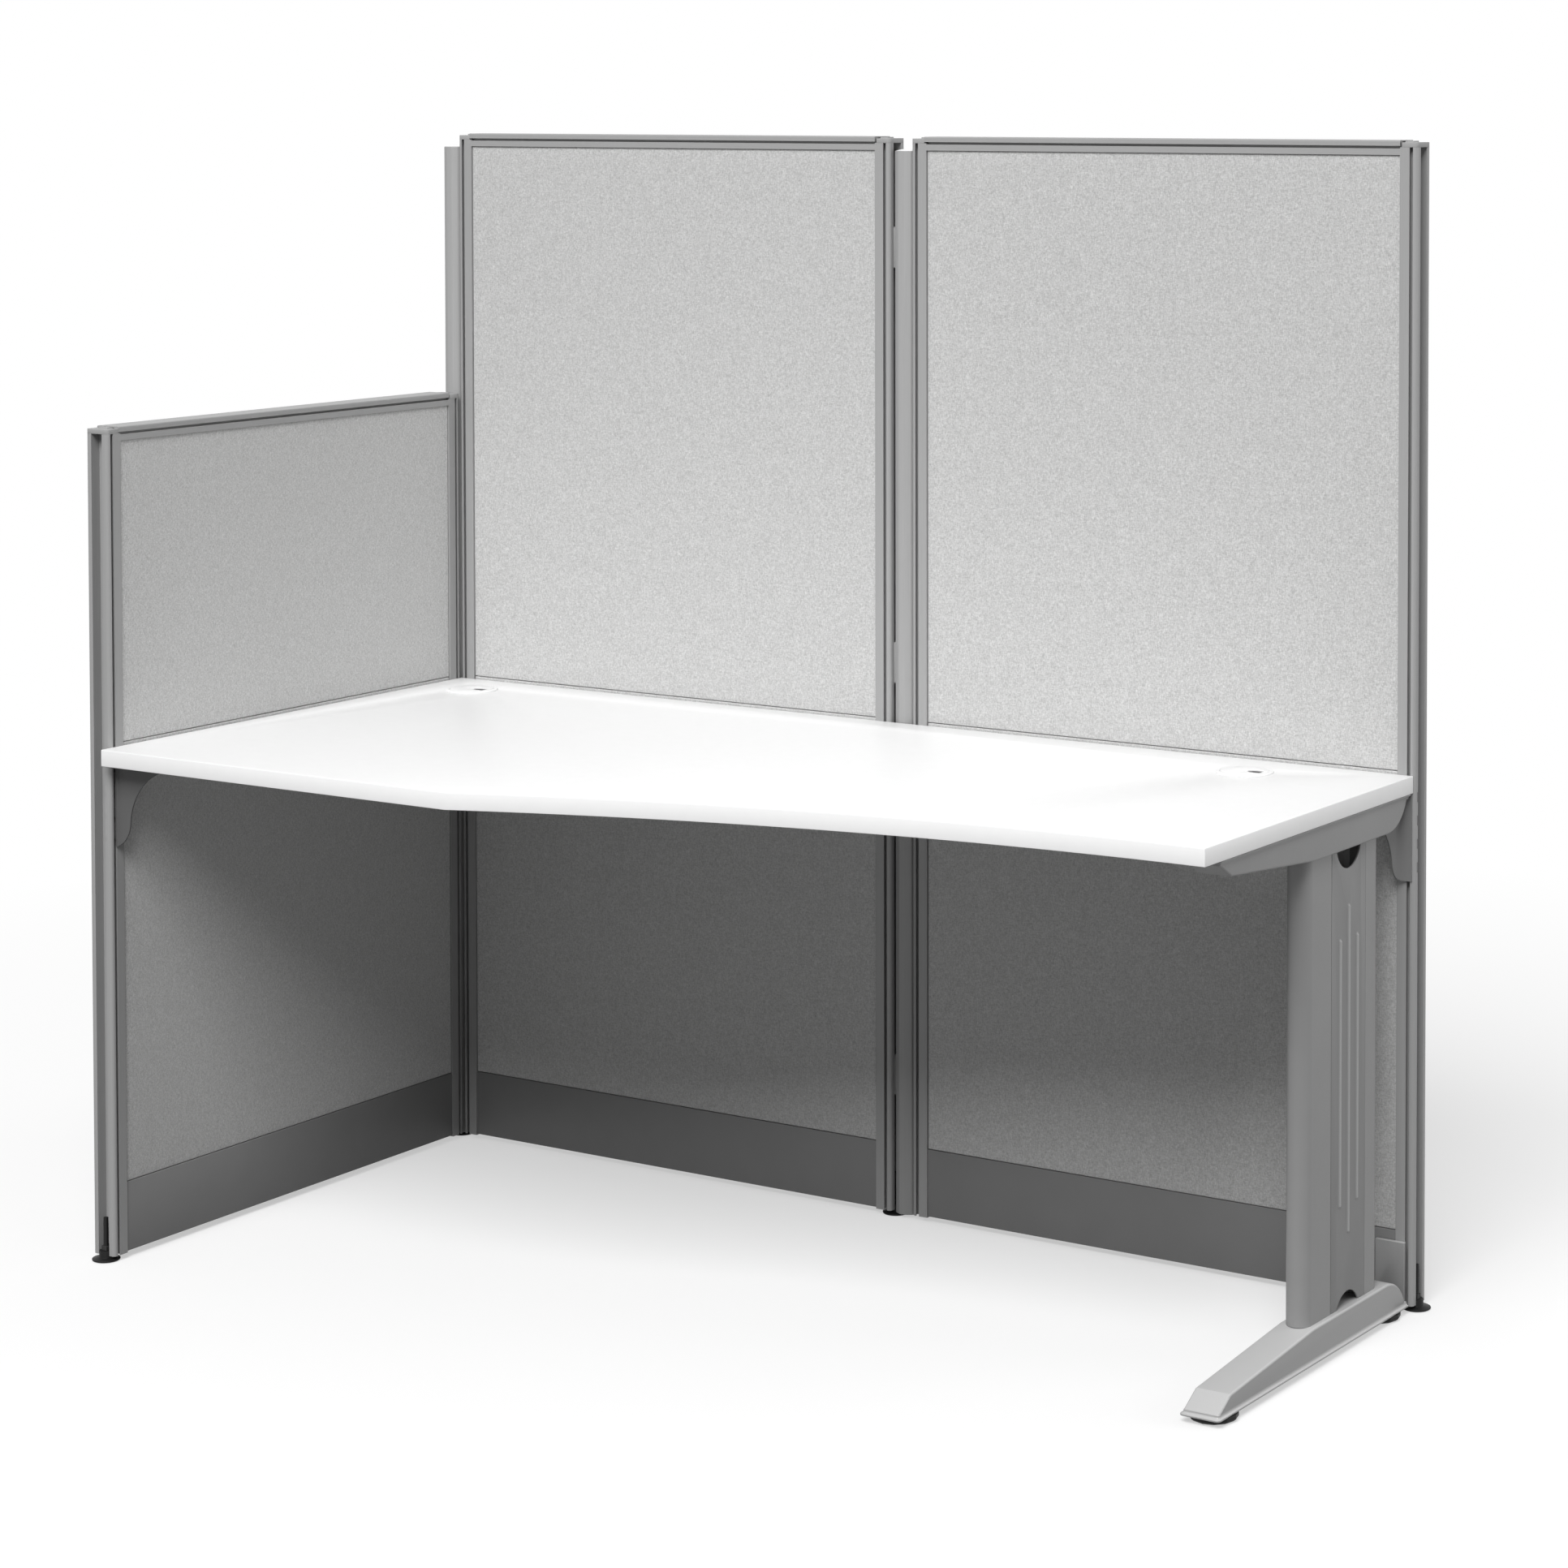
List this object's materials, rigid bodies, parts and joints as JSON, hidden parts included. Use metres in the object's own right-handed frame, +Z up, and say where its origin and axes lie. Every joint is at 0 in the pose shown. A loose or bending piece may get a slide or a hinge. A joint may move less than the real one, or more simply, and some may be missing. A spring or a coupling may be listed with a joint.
{
  "type": "cubicle workstation",
  "caption": "Office workstation with tall fabric panels, a low side panel, a swept white worktop on a C-shaped leg, and levelling feet.",
  "frame": {"origin": "on the floor, under the middle of the outer box", "axes": "+Z up, +X to the user's right along the tall panels, +Y away from the user"},
  "size_m": [1.7259, 0.8282, 1.6],
  "materials": {
    "panel_alloy": "satin grey",
    "core_board": "black board",
    "tile_fabric": "heathered light grey weave",
    "kick_paint": "matt mid grey",
    "end_cap_grey": "matt grey",
    "white_plastic": "matt white",
    "black_plastic": "black",
    "desk_laminate": "white laminate",
    "bracket_paint": "satin grey",
    "leg_casting": "silver grey powder coat",
    "leg_paint": "satin grey",
    "cover_plastic": "matt grey"
  },
  "bodies": {
    "workstation": {"side_stile_a": "panel_alloy", "side_stile_b": "panel_alloy", "side_top_rail": "panel_alloy", "side_core": "core_board", "side_tile_fu": "tile_fabric", "side_tile_fl": "tile_fabric", "side_tile_bu": "tile_fabric", "side_tile_bl": "tile_fabric", "side_kick_f": "kick_paint", "side_kick_b": "kick_paint", "side_end_cap_a": "end_cap_grey", "side_end_cap_b": "end_cap_grey", "left_stile_a": "panel_alloy", "left_stile_b": "panel_alloy", "left_top_rail": "panel_alloy", "left_core": "core_board", "left_tile_fu": "tile_fabric", "left_tile_fl": "tile_fabric", "left_tile_bu": "tile_fabric", "left_tile_bl": "tile_fabric", "left_kick_f": "kick_paint", "left_kick_b": "kick_paint", "left_end_cap_a": "end_cap_grey", "left_end_cap_b": "end_cap_grey", "right_stile_a": "panel_alloy", "right_stile_b": "panel_alloy", "right_top_rail": "panel_alloy", "right_core": "core_board", "right_tile_fu": "tile_fabric", "right_tile_fl": "tile_fabric", "right_tile_bu": "tile_fabric", "right_tile_bl": "tile_fabric", "right_kick_f": "kick_paint", "right_kick_b": "kick_paint", "right_end_cap_a": "end_cap_grey", "right_end_cap_b": "end_cap_grey", "corner_post": "panel_alloy", "corner_post_plug": "white_plastic", "mid_post": "panel_alloy", "mid_post_plug": "white_plastic", "desktop": "desk_laminate", "bracket_front_left": "bracket_paint", "bracket_rear_left": "bracket_paint", "bracket_rear_right": "bracket_paint", "grommet_left": "white_plastic", "grommet_right": "white_plastic", "leg_foot_beam": "leg_casting", "leg_top_beam": "leg_casting", "leg_front_column": "leg_paint", "leg_rear_column": "leg_paint", "leg_inner_cover": "cover_plastic"},
    "foot_front_body": {"foot_front": "black_plastic"},
    "foot_corner_body": {"foot_corner": "black_plastic"},
    "foot_mid_body": {"foot_mid": "black_plastic"},
    "foot_right_body": {"foot_right": "black_plastic"},
    "glide_front_body": {"glide_front": "black_plastic"},
    "glide_rear_body": {"glide_rear": "black_plastic"},
    "cap_left_body": {"grommet_cap_left": "white_plastic"},
    "cap_right_body": {"grommet_cap_right": "white_plastic"},
    "leg_cover_body": {"leg_outer_cover": "cover_plastic"}
  },
  "joints": [
    {"name": "foot_front_height", "type": "slide", "parent": "workstation", "child": "foot_front_body", "axis": [0, 0, -1], "range_m": [0, 0.02]},
    {"name": "foot_corner_height", "type": "slide", "parent": "workstation", "child": "foot_corner_body", "axis": [0, 0, -1], "range_m": [0, 0.02]},
    {"name": "foot_mid_height", "type": "slide", "parent": "workstation", "child": "foot_mid_body", "axis": [0, 0, -1], "range_m": [0, 0.02]},
    {"name": "foot_right_height", "type": "slide", "parent": "workstation", "child": "foot_right_body", "axis": [0, 0, -1], "range_m": [0, 0.02]},
    {"name": "glide_front_height", "type": "slide", "parent": "workstation", "child": "glide_front_body", "axis": [0, 0, -1], "range_m": [0, 0.012]},
    {"name": "glide_rear_height", "type": "slide", "parent": "workstation", "child": "glide_rear_body", "axis": [0, 0, -1], "range_m": [0, 0.012]},
    {"name": "cap_left_turn", "type": "hinge", "parent": "workstation", "child": "cap_left_body", "pos_m": [-0.72625, 0.28385, 0.738], "axis": [0, 0, 1], "continuous": true},
    {"name": "cap_right_turn", "type": "hinge", "parent": "workstation", "child": "cap_right_body", "pos_m": [0.63575, 0.27885, 0.738], "axis": [0, 0, 1], "continuous": true},
    {"name": "leg_cover_lift_off", "type": "slide", "parent": "workstation", "child": "leg_cover_body", "axis": [1, 0, 0], "range_m": [0, 0.06]}
  ]
}
